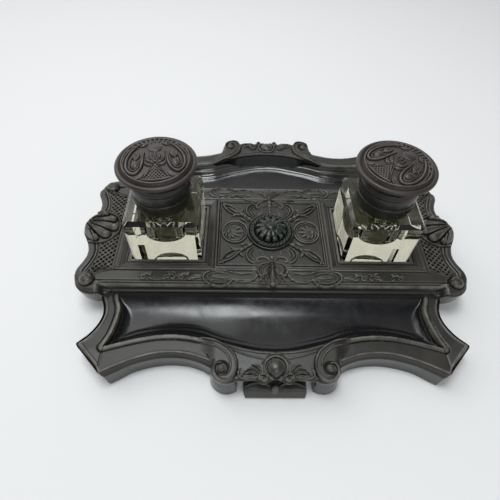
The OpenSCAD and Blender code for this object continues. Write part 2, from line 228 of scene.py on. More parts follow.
def new_object(name, points, faces, sharp):
    """A mesh object from points in millimetres, smooth but for edges sharper than an angle."""
    mesh = bpy.data.meshes.new(name)
    mesh.from_pydata((np.asarray(points) * MM).tolist(), [], faces)
    mesh.validate()
    mesh.update()
    mesh.shade_smooth()
    mesh.set_sharp_from_angle(angle=radians(sharp))
    obj = bpy.data.objects.new(name, mesh)
    bpy.context.scene.collection.objects.link(obj)
    return obj


def point_values(obj, name, values):
    """A number on each vertex, which a material reads."""
    attribute = obj.data.attributes.new(name, "FLOAT", "POINT")
    attribute.data.foreach_set("value", np.asarray(values, np.float32))


def longest_loop(edges):
    """The longest closed loop of boundary edges, turned to face down."""
    follow = dict(edges.tolist())
    loops = []
    while follow:
        start, at = follow.popitem()
        loop = [start]
        while at != start and at in follow:
            loop.append(at)
            at = follow.pop(at)
        loops.append(loop)
    return np.array(max(loops, key=len)[::-1])


def field_mesh(name, f, Z, D, walls, gloss=0, cap=True, blur=10, wall_shine=0, half=True):
    """A surface over the part of a grid where D < 0, with walls hanging from its edges.

    walls(x, y) gives, for the edge points, a list of (x, y, z) arrays from the top down.
    wall_shine is one gloss, one for each level, or a function of x and y. half mirrors the grid in x.
    """
    x, fields = f.x, [Z, D, np.broadcast_to(gloss, Z.shape)]
    if half:
        x = np.concatenate([-x[:0:-1], x])
        fields = [np.concatenate([v[:0:-1], v]) for v in fields]
    Z, D, gloss = fields
    X, Y = np.meshgrid(x, f.y, indexing="ij")
    size = X.size
    index = np.arange(size).reshape(X.shape)
    rows = np.stack([X, Y, Z, Z - blurred(Z, blur), gloss]).reshape(5, size)
    d = D.ravel()
    inner = d < 0
    a, b = index[:-1, :-1].ravel(), index[1:, :-1].ravel()
    c, e = index[1:, 1:].ravel(), index[:-1, 1:].ravel()
    whole = inner[a] & inner[b] & inner[c] & inner[e]
    part = (inner[a] | inner[b] | inner[c] | inner[e]) & ~whole
    tris = np.concatenate([np.stack([a, b, c], 1)[part], np.stack([a, c, e], 1)[part]])
    count = inner[tris].sum(1)

    def turned(t, want):
        """Each triangle turned so that its odd vertex comes first."""
        order = (np.argmax(inner[t] == want, axis=1)[:, None] + [0, 1, 2]) % 3
        return np.take_along_axis(t, order, 1)

    one, two = turned(tris[count == 1], True), turned(tris[count == 2], False)
    pairs = np.concatenate([one[:, [0, 1]], one[:, [0, 2]], two[:, [0, 1]], two[:, [0, 2]]])
    key = np.sort(pairs, 1) @ np.array([size, 1])
    unique, inverse = np.unique(key, return_inverse=True)
    p, q = unique // size, unique % size
    cut = rows[:, p] + (rows[:, q] - rows[:, p]) * np.clip(d[p] / (d[p] - d[q]), 0.001, 0.999)
    n1, n2 = len(one), len(two)
    one_b, one_c, two_b, two_c = np.split(inverse, [n1, 2 * n1, 2 * n1 + n2])
    faces = [np.stack([a, b, c, e], 1)[whole], tris[count == 3],
             np.stack([one[:, 0], one_b + size, one_c + size], 1),
             np.stack([two_b + size, two[:, 1], two[:, 2], two_c + size], 1)]
    edges = np.concatenate([np.stack([one_b, one_c], 1), np.stack([two_c, two_b], 1)])
    u, v = edges.T
    levels = walls(cut[0], cut[1])
    if callable(wall_shine):
        wall_shine = wall_shine(cut[0], cut[1])
    if np.ndim(wall_shine) == 0 or len(wall_shine) != len(levels):
        wall_shine = [wall_shine] * len(levels)
    columns, start, rim = [rows, cut], size, len(unique)
    for level, shine in zip(levels, wall_shine):
        columns.append(np.stack([np.broadcast_to(value, rim) for value in (*level, 0, shine)]))
        faces.append(np.stack([u, u + rim, v + rim, v], 1) + start)
        start += rim
    table = np.hstack(columns)
    used = np.zeros(table.shape[1], bool)
    for f in faces:
        used[f.ravel()] = True
    renumber = np.cumsum(used) - 1
    listed = [face for f in faces for face in renumber[f].tolist()]
    if cap:
        listed.append(renumber[longest_loop(edges) + start].tolist())
    obj = new_object(name, table[:3, used].T, listed, 50)
    point_values(obj, "cavity", table[3, used])
    point_values(obj, "shine", table[4, used])
    return obj


class Nodes:
    """A node tree, with short cuts to add and join nodes; an input takes a socket or a constant."""

    def __init__(self, tree):
        self.tree = tree

    def feed(self, socket, value):
        """Links or sets one input; a single number stands for a grey."""
        if isinstance(value, bpy.types.NodeSocket):
            self.tree.links.new(value, socket)
        elif socket.type == "RGBA":
            socket.default_value = (*((value,) * 3 if np.isscalar(value) else value), 1)
        else:
            socket.default_value = value

    def node(self, kind, **values):
        """A node with its settings and inputs."""
        n = self.tree.nodes.new("ShaderNode" + kind)
        for key, value in values.items():
            if hasattr(n, key):
                setattr(n, key, value)
            else:
                self.feed(n.inputs[key], value)
        return n

    def surface(self, **values):
        """Inputs of the principled shader."""
        for key, value in values.items():
            self.feed(self.tree.nodes["Principled BSDF"].inputs[key.replace("_", " ")], value)

    def attribute(self, name):
        return self.node("Attribute", attribute_name=name).outputs["Fac"]

    def noise(self, scale, detail=4, roughness=0.55, distortion=0):
        place = self.node("TexCoord").outputs["Object"]
        return self.node("TexNoise", Vector=place, Scale=scale, Detail=detail, Roughness=roughness,
                         Distortion=distortion).outputs["Fac"]

    def ramp(self, value, stops):
        """Greys along a value."""
        n = self.node("ValToRGB", Fac=value)
        elements = n.color_ramp.elements
        elements.remove(elements[-1])
        for k, (place, grey) in enumerate(stops):
            e = elements[0] if k == 0 else elements.new(place)
            e.position = place
            e.color = (grey, grey, grey, 1)
        return n.outputs["Color"]

    def mixed(self, factor, a, b, mode="MIX"):
        """Two colours mixed by a factor."""
        n = self.node("Mix", data_type="RGBA", blend_type=mode)
        for k, value in ((0, factor), (6, a), (7, b)):
            self.feed(n.inputs[k], value)
        return n.outputs[2]

    def sums(self, operation, *values):
        n = self.node("Math", operation=operation)
        for socket, value in zip(n.inputs, values):
            self.feed(socket, value)
        return n.outputs[0]

    def bumped(self, height, strength, distance):
        n = self.node("Bump", Strength=strength, Distance=distance, Height=height)
        self.surface(Normal=n.outputs["Normal"])


def new_material(name):
    """A new material and its nodes."""
    material = bpy.data.materials.new(name)
    material.use_nodes = True
    return material, Nodes(material.node_tree)


def composition_material(name, low, high, wear_and_highlight):
    """Dark moulded composition: mottled, pale on ridges as wear with a painted highlight, darkened in hollows
    as painted shade, painted pale as a reflection of the floor where shine is 0.75, glossy where shine is 1.
    """
    rough, tray_rough, tray_black = (0.3, 0.5), 0.2, (0.0095, 0.0095, 0.0105)
    material, n = new_material(name)
    cavity, shine = n.attribute("cavity"), n.attribute("shine")
    broad, fine = n.noise(45, 3), n.noise(900, 4, 0.6)
    colour = n.mixed(n.ramp(broad, [(0.35, 0), (0.7, 1)]), low, high)
    # Ridges are mixed toward the pale wear colour: partly real wear, partly a painted highlight.
    ridge = n.ramp(n.sums("MULTIPLY_ADD", cavity, 2.2, 0), [(0.12, 0), (0.75, 1)])
    patches = n.ramp(n.noise(160, 3), [(0.3, 0.25), (0.65, 1)])
    colour = n.mixed(n.mixed(1, ridge, patches, "MULTIPLY"), colour, wear_and_highlight)
    # Hollows are mixed toward a third of the low colour: painted shade.
    hollow = n.ramp(n.sums("MULTIPLY_ADD", cavity, -2.2, 0), [(0.08, 0), (0.7, 0.9)])
    colour = n.mixed(hollow, colour, [v * 0.35 for v in low])
    # Where shine is about 0.75 the colour is painted pale and slightly blue: a painted reflection of the
    # bright floor.
    pale = n.ramp(shine, [(0.4, 0), (0.7, 1), (0.8, 1), (0.9, 0)])
    colour = n.mixed(pale, colour, [v * 1.75 + 0.004 * k for k, v in enumerate(high)])
    black = n.ramp(shine, [(0.8, 0), (1, 1)])
    matt = n.ramp(n.sums("MULTIPLY_ADD", fine, 0.5, n.sums("MULTIPLY", broad, 0.5)),
                  [(0.3, rough[0]), (0.7, rough[1])])
    wiped = n.ramp(n.noise(30, 6, 0.7, 1.5), [(0.35, tray_rough * 0.75), (0.7, tray_rough * 1.7)])
    polish = n.ramp(shine, [(0, 0), (0.7, 1)])
    wall_gloss = n.mixed(black, n.mixed(0.55, wiped, 0.05), wiped)
    n.surface(Base_Color=n.mixed(black, colour, tray_black), Roughness=n.mixed(polish, matt, wall_gloss),
              Specular_IOR_Level=n.ramp(shine, [(0, 0.5), (0.7, 0.8), (1, 0.55)]))
    n.bumped(n.mixed(polish, fine, 0.5), 0.25, 0.0002)
    return material


def plain_material(name, colour, roughness, metallic=0, grain=600, spread=0.25, bump=0.1, dirt=False):
    """A surface with a fine mottle in colour and gloss, darker in its hollows where dirt is asked for."""
    material, n = new_material(name)
    mottle = n.noise(grain)
    base = n.mixed(n.ramp(mottle, [(0.3, 0), (0.7, 1)]), [v * (1 - spread) for v in colour],
                   [v * (1 + spread) for v in colour])
    if dirt:
        raised = n.sums("MULTIPLY_ADD", n.attribute("cavity"), 0.4, 0.5)
        base = n.mixed(1, base, n.ramp(raised, [(0.2, 0.12), (0.55, 1), (0.8, 2.2)]), "MULTIPLY")
    rough = n.ramp(mottle, [(0.3, roughness * 0.85), (0.7, min(roughness * 1.2, 1))])
    n.surface(Base_Color=base, Roughness=rough, Metallic=metallic)
    n.bumped(mottle, bump, 0.0003)
    return material


def glass_material(name):
    """Clear glass with a faint olive tint."""
    material, n = new_material(name)
    n.surface(Base_Color=(0.61, 0.605, 0.485), Roughness=0, IOR=1.52, Transmission_Weight=1)
    return material


BODY = composition_material("composition", (0.0195, 0.018, 0.015), (0.034, 0.0315, 0.026),
                            (0.165, 0.155, 0.13))
CAP = composition_material("cap_composition", (0.028, 0.022, 0.0195), (0.050, 0.040, 0.035),
                           (0.135, 0.117, 0.103))
BLACK = plain_material("collar_black", (0.019, 0.0185, 0.0145), 0.3, grain=80, spread=0.3, bump=0.02)
BRONZE = plain_material("boss_bronze", (0.021, 0.025, 0.021), 0.3, 0.3, grain=300, spread=0.35, dirt=True)
GLASS_LOOK = glass_material("block_glass")
BRASS = plain_material("screw_brass", (0.42, 0.30, 0.13), 0.35, metallic=1)
STEEL = plain_material("pin_steel", (0.22, 0.21, 0.19), 0.4, metallic=1)
BAIZE = plain_material("baize", (0.014, 0.026, 0.017), 0.95, grain=2500, spread=0.5, bump=0.8)
# The felt's light grey is painted light: it brightens what shows through the glass, standing in for lamp
# light that does not pass through the glass.
FELT = plain_material("socket_felt", (0.15, 0.145, 0.11), 0.95, grain=2500, spread=0.4, bump=0.8)
WOOD = plain_material("board_wood", (0.10, 0.06, 0.03), 0.7, grain=120, spread=0.35)
SEAL = plain_material("seal_rubber", (0.05, 0.032, 0.02), 0.6, grain=700)


def dress(obj, material):
    obj.data.materials.clear()
    obj.data.materials.append(material)


def finish_piece(obj, body, material):
    """The material and the body it rides on, for a new piece."""
    dress(obj, material)
    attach(obj, body)
    return obj


def stand_end(obj, sign):
    """Lifts a rim with its crest and foot above the solids' flat level, spreads it, and puts it in place."""
    lift, spread, draw_in = 3.4, 1.3, 0.7
    mesh = obj.data
    p = np.empty(3 * len(mesh.vertices), np.float32)
    mesh.vertices.foreach_get("co", p)
    x, y, z = p.reshape(-1, 3).T / MM
    far = smooth((np.abs(y) - 52) / 28)
    high = np.clip((z - 4) / 9, 0, 1)
    scallop = smooth((np.abs(x) - 40) / 8) * smooth((100 - np.abs(x)) / 12)
    x = x - np.sign(x) * draw_in * far * smooth((np.abs(x) - 100) / 15)
    y = y + np.sign(y) * spread * far * (1 - 0.9 * scallop * (1 - high))
    z = z + lift * far * high
    mesh.vertices.foreach_set("co", (np.stack([x, y, z], 1) * MM).astype(np.float32).ravel())
    mesh.update()
    if sign < 0:
        mesh.transform(Matrix.Rotation(pi, 4, "Z"))
    return finish_piece(obj, "stand", BODY)


def moulding_height(e, d, arris=0.5):
    """The rim's mouldings: e is the distance from the hollow's edge, d from the outer edge."""
    z = RIM_Z - 0.25 * smooth(e / 4)
    z = z + 0.35 * bump(e, 1.4, 1.7) - 0.6 * bump(e, 3.3, 0.45)
    fall = np.clip((arris - d) / arris, 0, 1) ** 1.3
    return z + 0.35 * bump(d, arris + 0.3, 0.8) - 1.1 * (0.3 + arris) * fall


def tray_piece(sign):
    """The front tray (sign 1) or the back tray (sign -1): hollow, rims and their walls."""
    back_y, mitre_x, reach = -47, 109.4, 8
    f = Relief(0, 130, -112, -46, 0.5)
    X, Y = f.X, f.Y
    top, foot = (np.vstack([[(0, -100)], curve(front), corner, curve(side),
                            [(side[-1][0], back_y), (0, back_y)]]) for front, corner, side in (TOP, FOOT))
    front, side = curve(HOLLOW_FRONT), curve(HOLLOW_SIDE)
    d_out = signed(X, Y, mirrored_x(top))
    e_in = signed(X, Y, mirrored_x(np.vstack([front, side, [(108.6, -30)]])))
    radius = np.where(Y < TROUGH_Y, TROUGH_R_OUT, TROUGH_R)
    floor = FLOOR_Z + radius - np.sqrt(np.clip(radius ** 2 - (Y - TROUGH_Y) ** 2, 0, None))
    end, lip = nearest(X, Y, side)[0], nearest(X, Y, front)[0]
    cove = 11.6 - np.sqrt(np.clip(reach ** 2 - (reach - np.clip(end, 0, reach)) ** 2, 0, None)) * 0.82
    upper, lower = np.clip(lip / 3.3, 0, 1), np.clip((lip - 3.3) / 4.7, 0, 1)
    roll = 12.8 - 3.4 * (1 - (1 - upper) ** 2) - 2.9 * (1 - (1 - lower) ** 2)
    roll = roll - 0.5 * np.maximum(lip - reach, 0)
    hollow_z = soft_max(soft_max(floor, cove, 1.2), np.minimum(roll, RIM_Z), 1)
    arris = 0.5 + 1.7 * smooth((X - 108.5) / 2.5)
    rim_z = moulding_height(np.maximum(e_in, 0), np.maximum(-d_out, 0), arris)
    rim_z = rim_z + 0.1 * np.maximum(X - 109.5, 0) * smooth((-84 - Y) / 8)
    mitre = np.abs(X - mitre_x + 0.03 * (Y + 89.4))
    rim_z = rim_z - np.where((e_in > 0.5) & (Y < -90.5), 0.25 * bump(mitre, 0, 0.6), 0)
    z = np.where(e_in < 0, np.minimum(hollow_z, RIM_Z + 0.2), rim_z)
    gloss = smooth((-e_in - 0.2) / 0.8)
    # On the back tray, shine drops a little near the far wall's top edge, which paints that band partly pale:
    # a painted highlight.
    if sign < 0:
        gloss = gloss * (1 - 0.14 * (1 - smooth((lip - 7) / 2.5)))

    def walls(x, y):
        """Two dark coves, then the foot, which is painted pale as a reflection of the bright floor: shares of
        the way out to the foot line, with heights.
        """
        place = nearest(np.abs(x), y, top)[1]
        foot_x, foot_y = (np.interp(place, np.arange(len(foot)), v) for v in foot.T)
        return [(x + (foot_x * np.sign(x) - x) * share, y + (foot_y - y) * share, z) for share, z in (
            (0.02, 12.2), (0.07, 11.6), (0.18, 10.8), (0.34, 10.2), (0.5, 9.8), (0.6, 9.5), (0.63, 9.1),
            (0.67, 7.4), (0.74, 5.4), (0.84, 3.2), (0.94, 1.6), (1, BASE_Z))]

    # The lower six wall levels are painted pale with the polished class: a painted reflection of the floor.
    obj = field_mesh("tray_front" if sign > 0 else "tray_back", f, z, d_out, walls, gloss, cap=False,
                     wall_shine=[0] * 6 + [POLISHED_PAINTED_REFLECTION] * 6)
    return stand_end(obj, sign)


def deck_ornament(f):
    """Strapwork and sprigs on the rails, for x >= 0."""
    for s in (-1, 1):
        f.flip = (1, s)
        for x, way in ((62, 1), (72, -1), (88, 1)):
            f.stroke([(x - 4, 41.5), (x - 1.5, 39.4), (x + 1.6, 40.2), (x + 4, 43)], 1.5, 0.7, (0.4, 1, 0.3))
            f.spiral(x + 2.2 * way, 42.2, 2.4, 0.7, 20 * s, 380 * s, 0.9, 0.6)
            f.leaf((x - 1, 40.5), (x - 3.6 * way, 37.4), 1.8, 0.7, 0.15 * s, 0.2)
            f.leaf((x + 1, 41), (x + 4.4 * way, 38.2), 1.6, 0.6, -0.15 * s, 0.2)
            f.leaf((x - 2, 42), (x - 5.6 * way, 44.2), 1.5, 0.6, 0.1 * s, 0.2)
        f.stroke([(28, 37.5), (33, 36.1), (40, 35.9), (46, 37.4), (48.6, 41), (47, 44.8), (42, 47.4),
                  (36, 48), (31, 46.6), (28, 43.6)], 1.3, 0.85)
        f.stroke([(31, 39), (36, 38), (42, 38.2), (45.6, 40.6), (44.6, 43.6), (40, 45.6), (34.5, 45.6),
                  (31, 43.6)], 0.9, 0.6)
        f.leaf((31, 42), (43, 41.4), 3.2, 0.7, 0.02 * s, 0.3)
        f.stroke([(28, 43.6), (23, 45.2), (16, 44.6), (12, 42.2)], 1.6, 0.9, (0.6, 1, 0.5))
        f.stroke([(27.5, 38), (22, 38.8), (16, 38.2), (13, 39.6)], 1.1, 0.7, (0.6, 1, 0.4))
        f.leaf((50, 41.5), (58, 43.6), 2.4, 0.6, 0.1 * s, 0.3)
    f.stroke([(19.6, 35.4), (24, 37.2), (28, 38.6), (30.4, 37.6), (29.6, 36.2)], 1.1, 1.2, (0.6, 1, 1, 0.8))


def wing_ornament(f):
    """The shell in the middle of a wing, whose lobes spread inward, and the knob at each end."""
    root = (140, 5.6)
    for mid, end, width in (((136, -4), (131.2, -8.6), 6.6), ((131.4, 0), (123.4, -5.2), 7.2),
                            ((128, 4.2), (118.6, 1.6), 6.6), ((129, 8.6), (120.8, 9.6), 5.8),
                            ((133, 11), (127.6, 14.2), 4.6)):
        f.stroke([root, mid, end], width, 2.9, (0.3, 0.7, 0.95, 1))
        f.dome(*end, width * 0.46, width * 0.42, 3.5)
        f.stroke([root, mid, end], 0.8, 3.5, (0.5, 1, 0.4))
    for line in (((139, 3.8), (133.5, -1.4), (129.2, -6.2), (127, -9)),
                 ((136, 4.4), (128.6, 1.6), (122, -1.8)), ((136, 6.6), (128, 7), (119.6, 6.4)),
                 ((136, 8.4), (130, 11.4), (124.4, 13.4))):
        f.groove(line, 1.3, 1.5, (0.5, 1, 1))
    f.stroke(SHELL, 1.1, 1.3)
    for s in (-1, 1):
        f.flip = (1, s)
        f.stroke([(108, 33.4), (114, 33.8), (121, 35.6), (127, 38.8), (130.6, 41)], 0.9, 0.7)
        f.dome(128.4, 45.2, 4.9, 4.7, 3.1, flat=0.9)
        f.spiral(128.2, 45.6, 3.4, 0.9, 140, 500, 0.8, 3.5)


def lattice_holes(p, q, pitch, half, soft):
    """1 in the holes of a lattice along two slanting coordinates."""
    across = [np.abs((v / pitch) % 1 - 0.5) for v in (p, q)]
    return smooth((half - np.maximum(*across)) / soft)


def deck_mould():
    """Deck, rails and wings: one surface over the whole middle of the stand."""
    f = Relief(0, 141.2, -55.2, 55.2, 0.4)
    u, y = f.X, f.Y
    v = np.abs(y)
    wing = curve(WING, 5) * [1, -1]
    quarter = np.vstack([[(-1, LIP_Y), (108, LIP_Y)], wing[1:]])
    D = signed(u, y, mirrored_x(np.vstack([quarter, (quarter * [1, -1])[::-1]])))
    cover_at = np.maximum(u - COVER[0] / 2, v - COVER[1] / 2)
    D = np.maximum(D, 0.3 - cover_at)
    edge = nearest(u, v, wing)[0]

    # The deck, with a moulded frame round each socket and round the cover.
    well_at = np.maximum(np.abs(u - WELL_X), v)
    z = 20.7 + 1.1 * smooth((well_at - 28.4) / 4.6)
    z = z - 0.8 * bump(well_at, 28.2, 0.55) - 0.25 * bump(well_at, 29.4, 0.4) + 0.45 * bump(well_at, 33, 0.6)
    z = np.where((u < 43.2) & (v < 36), 21.6 + 0.3 * bump(cover_at, 1, 0.7), z)

    # The wings: a lattice field inside rolled borders.
    on_wing = smooth((u - 108.6) / 1.2)
    field = 22.3 + 0.9 * smooth((u - 110) / 8) + 0.3 * bump(u, 110.4, 0.7) + 0.35 * bump(u, 112.6, 0.6)
    shell = signed(u, y, np.vstack([curve(SHELL), [(142, 15.4), (142, -12.4)]]))
    lattice = (u > 113.6) & (edge > 7.9) & (v < 39) & (shell > 0.8)
    field = field + np.where(lattice, 0.35 - 1.7 * lattice_holes(u + y, u - y, 4, 0.37, 0.15), 0)
    borders = 0.9 * bump(edge, 2.2, 2.5) - 0.5 * bump(edge, 4.9, 0.5) + 0.45 * bump(edge, 5.8, 0.6)
    borders = borders - 0.35 * bump(edge, 6.8, 0.4)
    field = field + borders * (1 - smooth((v - 36) / 5))
    z = z * (1 - on_wing) + field * on_wing

    # The rails, their inner beads and the fall to the trays.
    rail_in = curve([(0, 34.6), (60, 34.6), (106, 34.6), (113, 34.9), (120, 36.6), (126.6, 40.4)], 5)
    rail = signed(u, v, np.vstack([rail_in, [(125, 43), (124.6, 46), (0, 46), (-40, 46), (-40, 34.6)]]))
    z = np.where(rail < 0, 22 + 0.45 * smooth(-rail / 2.4) - 0.5 * bump(rail, -1.5, 0.45), z)
    z = z + 0.75 * bump(nearest(u, v, rail_in)[0], 0, 0.85)
    fall = np.interp(v, [45.6, 46.1, 46.5, 47.1, 47.8, 48.2, 48.9, 49.4, 50, 50.5, 52],
                     [22.1, 21.4, 21.3, 21.7, 21, 20.2, 18, 17.3, 17.4, 16.6, 16.4])
    on_lip = smooth((v - 45.6) / 0.5) * smooth((121.5 - u) / 5)
    z = z * (1 - on_lip) + fall * on_lip
    corner = smooth((v - 40) / 5) * smooth((u - 116) / 8)
    z = z - corner * 2.2 * np.clip(1 - edge / 5, 0, 1) ** 2
    z = z - 0.9 * np.clip(1 - edge / 0.9, 0, 1) ** 2 * on_wing

    deck_ornament(f)
    z = z + f.taken(1, 0.3)
    wing_ornament(f)
    z = z + f.taken(1, 0.9)
    socket_at = well_at - SOCKET / 2
    z = np.where(socket_at < 0.1, SOCKET_Z, z)

    def walls(x, y):
        """The stamp box's sides, the trays' lips, and the wings' undercut hull."""
        u, v = np.abs(x), np.abs(y)
        in_box = (u < COVER[0] / 2 + 1) & (v < COVER[1] / 2 + 1)
        wing_side = np.clip((u - 112) / 8, 0, 1)
        toward = np.stack([np.sign(x) * 116, np.clip(y, -38, 38)]) - np.stack([x, y])
        toward = toward / np.maximum(np.hypot(*toward), 1e-6)
        levels = []
        for k in range(1, 11):
            share = k / 10
            bend = share * pi / 2
            hull_z = (22.2 * (1 - sin(bend)) + BASE_Z) * 0.8 + (21.4 - 20.6 * share) * 0.2
            z = max(15.5 - 12 * share, 4) * (1 - wing_side) + hull_z * wing_side
            px, py = np.stack([x, y]) + toward * 7.5 * (1 - cos(bend)) * wing_side
            bx, by, box_z = x, y, LEDGE_Z - 16.2 * max(k - 3, 0) / 7
            if k > 1:
                bx = np.sign(x) * np.minimum(u, BOX[0] / 2)
                by = np.sign(y) * np.minimum(v, BOX[1] / 2)
            levels.append((np.where(in_box, bx, px), np.where(in_box, by, py), np.where(in_box, box_z, z)))
        return levels

    # The walls are painted pale with the polished class: a painted reflection of the floor.
    obj = field_mesh("deck_mould", f, z, D, walls, wall_shine=POLISHED_PAINTED_REFLECTION)
    return finish_piece(obj, "stand", BODY)


def panel_ornament(f):
    """The cover's relief, for x >= 0: border, roundel, buds and scrolls."""
    for line in ([(0, -30.8), (19, -30.8), (38.4, -30.8)], [(38.6, -30.8), (38.6, 0), (38.6, 30.8)],
                 [(0, 30.8), (19, 30.8), (38.4, 30.8)]):
        f.stroke(line, 0.9, 0.55)
    oval = ring(0, 0, 1)
    f.stroke(oval * [9.4, 10.4] + [27.2, 0], 1.3, 1, per=1)
    f.stroke(oval * [7.7, 8.7] + [27.2, 0], 0.8, 0.65, per=1)
    for k in range(7):
        a = radians(102 + 26 * k)
        reach = 1 / hypot(cos(a) / 11.4, sin(a) / 6.6)
        f.leaf((32, 0), (32 + reach * cos(a), reach * sin(a)), 3.3, 0.95, 0, 0.3)
    f.dome(32.2, 0, 2, 2.3, 1.5)
    for angle, length in ((0, 5), (42, 5.4), (-42, 5.4), (80, 5.2), (-80, 5.2)):
        a = radians(angle)
        f.leaf((32.8, 0), (32.8 + length * cos(a), length * sin(a)), 2.1, 1.3, 0.12, 0.3)
    for s in (-1, 1):
        f.flip = (1, s)
        f.stroke([(14.6, 11.8), (18.6, 14.8), (22.4, 17.6)], 2.2, 1.1, (1, 0.7, 1))
        for t in (0.2, 0.6, 0.95):
            f.dome(14.6 + 7.8 * t, 11.8 + 5.8 * t, 1.6, 1.4, 1.5)
        f.stroke([(22.6, 18), (26.4, 22.6), (31.2, 26.4), (35.2, 27.8), (36, 25.6), (32.8, 21.2), (28, 17.8),
                  (23.2, 17)], 1.1, 1.25)
        f.leaf((24.4, 19), (33.6, 25.4), 2.9, 1.5)
        f.leaf((22.4, 18.4), (20.4, 23.4), 2.3, 1.1, -0.2)
        f.leaf((23.4, 16.8), (29.6, 15.6), 2.3, 1.1, 0.2)
        for tip in ((38, 30.2), (38, 26.6), (34.6, 30.2)):
            f.leaf((35.4, 27.6), tip, 1.7, 0.9, 0.1 * s, 0)
        f.stroke([(13.6, 14.2), (17.2, 17.8), (18.4, 22), (17, 26.2), (13.6, 28.8), (11.2, 27.8), (11.6, 26)],
                 1.2, 1.1, (0.5, 1, 1, 1, 0.9, 0.7))
        f.stroke([(12.4, 15.6), (15, 18.8), (15.9, 22.2), (14.9, 25.2), (12.8, 26.6)],
                 1, 0.9, (0.5, 1, 1, 0.5))
        f.stroke([(11.2, 17), (12.9, 19.6), (13.4, 22.2), (12.6, 24.2)], 0.9, 0.8, (0.5, 1, 0.5))
        f.stroke([(16.2, 11), (19.4, 13.4), (21.4, 15.6)], 0.9, 0.9, (0.6, 1, 0.6))
        f.leaf((9.4, 17.2), (6.4, 22), 2.2, 0.9, 0.2)
        f.leaf((18.6, 10), (23.6, 13.2), 1.9, 0.9, 0.1)


def finial_ornament(f):
    """The two palmettes of the cover, for x >= 0; the front one lies toward -y."""
    f.stroke([(0, -24), (0, -34), (0, -46.4)], 3.9, 2.5, (0.6, 0.9, 1, 0.9))
    f.groove([(0.5, -29), (0.6, -37), (0.6, -45)], 0.6, 0.5)
    f.dome(0, -47.9, 2.3, 2.2, 3.1)
    f.dome(0, -25.6, 1.6, 2.2, 2.9)
    f.stroke([(1, -28.4), (3, -25.6), (6, -24.2), (9.2, -24.8), (11, -26.8), (10.2, -28.6), (8.8, -27.8)],
             1.7, 1.9, (0.9, 1, 1, 0.9, 0.7))
    f.leaf((2, -25.4), (5.4, -22), 2, 1.4, -0.2, 0.3)
    f.dome(5.9, -36.6, 4.6, 6.4, 2.6, turn=8, flat=0.8)
    f.stroke([(1.8, -29), (4.6, -30.6), (7.6, -31.8), (9.9, -34.8), (10.1, -38.2), (8.4, -41.2), (6.6, -41.6),
              (6.6, -39.8)], 1.9, 3, (0.7, 1, 1, 1, 0.9))
    f.stroke([(1.9, -30.6), (5, -32.8), (7.3, -35.6), (7, -38.8), (5.4, -41)], 1.7, 3.1, (0.6, 1, 1, 0.8))
    f.stroke([(1.9, -32.4), (4, -34.6), (4.9, -37.4), (4, -40.6)], 1.6, 3, (0.6, 1, 1, 0.7))
    f.dome(7.6, -40.6, 1.3, 1.3, 2.8)
    f.leaf((2, -39), (4.6, -45.8), 2.8, 2.1, 0.16)
    f.leaf((4.2, -40.6), (8.8, -45), 2.7, 2, 0.2)
    f.leaf((7.6, -39.6), (12.4, -42.4), 2.4, 1.7, 0.2, 0.3)
    f.stroke([(0, 19.6), (0, 28), (0, 38)], 3.6, 1.9, (0.4, 1.1, 0.9))
    for k, r in enumerate((1.2, 1.6, 1.9, 1.6)):
        f.dome(0, 22.2 + 3.7 * k, r, r * 0.95, 2.6)
    f.stroke(ring(4.6, 28.2, 2), 1.1, 1.7, per=1)
    f.dome(4.6, 28.2, 1, 1, 1.6)
    f.stroke([(1.2, 33.2), (4.2, 32.4), (8, 30), (10.4, 27), (9.8, 24.4), (8.2, 24.4), (8.4, 26)],
             1.5, 1.7, (0.8, 1, 1, 0.9, 0.7))
    f.leaf((1.2, 35.6), (6.4, 43.6), 3, 2.1, 0.12, 0.4)
    f.leaf((1.8, 34.4), (9.2, 41.2), 2.8, 2, 0.2, 0.4)
    f.leaf((0.4, 36.6), (2.2, 44.4), 2.6, 2.2, 0.05)
    f.stroke([(1.6, 32.4), (6, 32.6), (11, 31.6), (16, 32.6), (20, 33.4)], 1, 1, (1, 1, 0.6))


def cover_piece():
    """The lift-off cover with its relief and the palmettes that lie over the rails."""
    f = Relief(0, 41.9, -50.4, 46.4, 0.3)
    u, y = f.X, f.Y
    half_w, half_d = COVER[0] / 2, COVER[1] / 2
    plate = np.maximum(u - half_w, np.abs(y) - half_d)
    front = [(-9, -26), (13.4, -26), (14.6, -36), (14.4, -41), (11.6, -45.4), (7.4, -47.4), (2.8, -47),
             (2.4, -49.4), (0, -50.2), (-9, -50.2)]
    back = [(-9, 26), (8.6, 26), (9.6, 35), (9.8, 40.4), (7.2, 43), (3.6, 43), (2.6, 45), (0, 45.4),
            (-9, 45.4)]
    tongue = np.minimum(signed(u, y, front), signed(u, y, back))
    panel_ornament(f)
    raised = f.taken(1.15, 0.3)
    finial_ornament(f)
    finial = f.R
    raised = np.where(finial > 0, np.maximum(raised, finial), raised + f.taken(1, 0.6))
    lobes = np.minimum(tongue + 0.2, 0.55 - raised)
    D = np.minimum(plate, np.maximum(tongue, np.where(np.abs(y) > half_d, lobes, tongue)))
    edge = -plate
    z = 22.15 + 0.45 * bump(edge, 0.9, 0.8) - 0.35 * bump(edge, 2, 0.35) - 0.25 * smooth((edge - 2.4) / 0.6)
    z = np.where(plate > 0, 22.4, z + 0.25 * bump(edge, 2.9, 0.4))
    join = smooth(1 - np.abs(plate) / 1.6) * (tongue < 0)
    z = np.maximum(z, 22.4 * join) + raised

    def walls(x, y):
        return [(x, y, np.where(np.abs(y) > half_d + 0.05, 22.3, 19.1))]

    obj = field_mesh("cover_panel_relief", f, z, D, walls)
    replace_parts(obj, "cover_panel")
    return finish_piece(obj, "cover", BODY)


